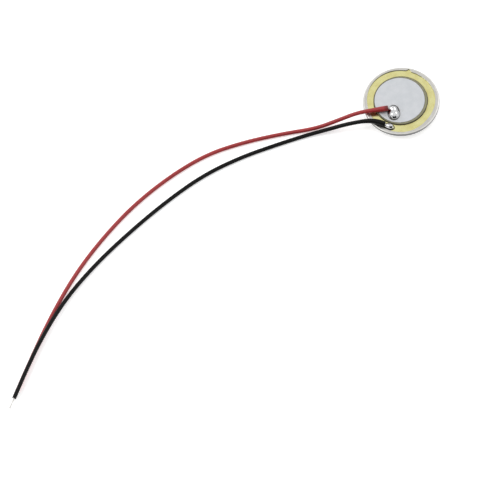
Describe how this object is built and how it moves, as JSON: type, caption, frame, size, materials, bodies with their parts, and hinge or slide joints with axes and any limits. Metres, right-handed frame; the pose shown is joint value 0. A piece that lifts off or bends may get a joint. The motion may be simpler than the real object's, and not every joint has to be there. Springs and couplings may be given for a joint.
{
  "type": "piezo sounder with leads",
  "caption": "Small round piezo sounder: a brass and ceramic disc clinched into a stamped aluminium resonator cap with a sound hole, with a red and a black soldered lead.",
  "frame": {"origin": "centre of the resonator cap's flat sound face, which rests on the ground", "axes": "+Z from the sound face through the stack to the wired back; the leads leave towards -X"},
  "size_m": [0.0915, 0.0588, 0.003],
  "materials": {
    "cap_aluminium": "bright drawn aluminium sheet",
    "seal_silicone": "thin translucent adhesive sealant",
    "plate_brass": "fine-grained rolled brass",
    "bond_epoxy": "thin cured epoxy film",
    "silver_paste": "matt fired silver paste",
    "ceramic_pzt": "fine-grained grey-olive piezo ceramic",
    "solder": "bright tin solder",
    "red_pvc": "semi-gloss red PVC",
    "black_pvc": "semi-gloss black PVC",
    "tinned_copper": "tinned copper strands"
  },
  "bodies": {
    "root": {"resonator_cap": "cap_aluminium", "plate_seal": "seal_silicone", "brass_plate": "plate_brass", "ceramic_bond": "bond_epoxy", "lower_electrode": "silver_paste", "piezo_ceramic": "ceramic_pzt", "upper_electrode": "silver_paste", "electrode_joint": "solder", "plate_joint": "solder", "red_insulation": "red_pvc", "red_conductor": "tinned_copper", "black_insulation": "black_pvc", "black_conductor": "tinned_copper"}
  },
  "joints": []
}
